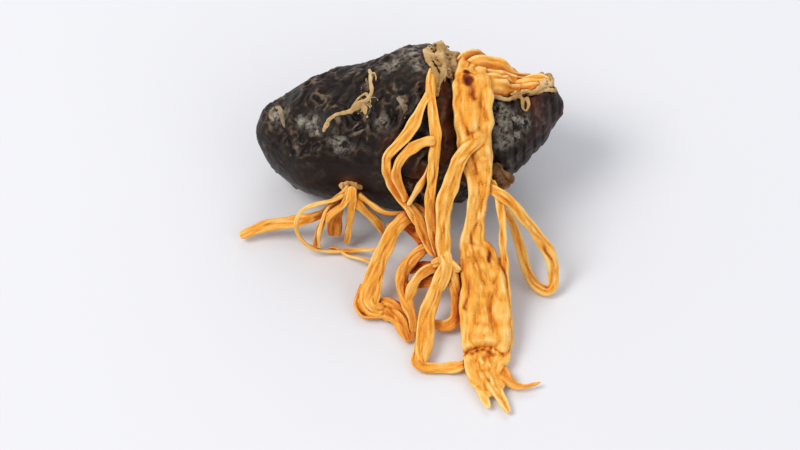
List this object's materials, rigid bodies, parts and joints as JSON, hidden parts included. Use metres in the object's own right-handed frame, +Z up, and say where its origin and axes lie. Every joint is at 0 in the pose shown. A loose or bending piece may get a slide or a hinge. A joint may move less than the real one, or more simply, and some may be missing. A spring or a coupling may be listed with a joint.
{
  "type": "dried cordyceps",
  "caption": "Dried insect-borne fungus: a shrunken dark silkworm pupa with flattened orange stromata that hang over its front and spread in folds and loops; a dried food and tonic ingredient.",
  "frame": {"origin": "a point on the small flat of the pupa's belly, at the level of the surface it rests on, near the middle of the pupa's length", "axes": "+X along the pupa from its blunt head to its pointed tail, -Y towards the tips of the stromata, +Z up from the surface it rests on"},
  "size_m": [0.0291, 0.0344, 0.0149],
  "materials": {
    "pupa_skin": "near-black shrunken cuticle, wrinkled and half glossy, with grey-tan ridges and a maroon tail",
    "stroma": "dry matt orange fungal flesh with lengthwise wrinkles, paler on ridges and red-brown in creases",
    "mycelium": "matt felted crust, cream to olive and orange, with fine threads"
  },
  "bodies": {
    "root": {"pupa": "pupa_skin", "mycelium_mat": "mycelium", "mycelium_pad": "mycelium", "mycelium_bud": "mycelium", "trunk": "stroma", "trunk_edge": "stroma", "trunk_end": "stroma", "finger_left": "stroma", "finger_middle": "stroma", "finger_right": "stroma", "front_ribbon": "stroma", "slanting_stroma": "stroma", "outer_hook": "stroma", "inner_hook": "stroma", "short_link": "stroma", "hairpin_loop": "stroma", "long_left_stroma": "stroma", "crossing_stroma": "stroma", "hanging_stroma": "stroma", "club_stroma": "stroma", "slim_stroma": "stroma", "left_fold_upper": "stroma", "left_fold_lower": "stroma", "inner_branch": "stroma", "small_arch": "stroma", "front_fold_upper": "stroma", "front_fold_lower": "stroma", "small_curl": "stroma"}
  },
  "joints": []
}
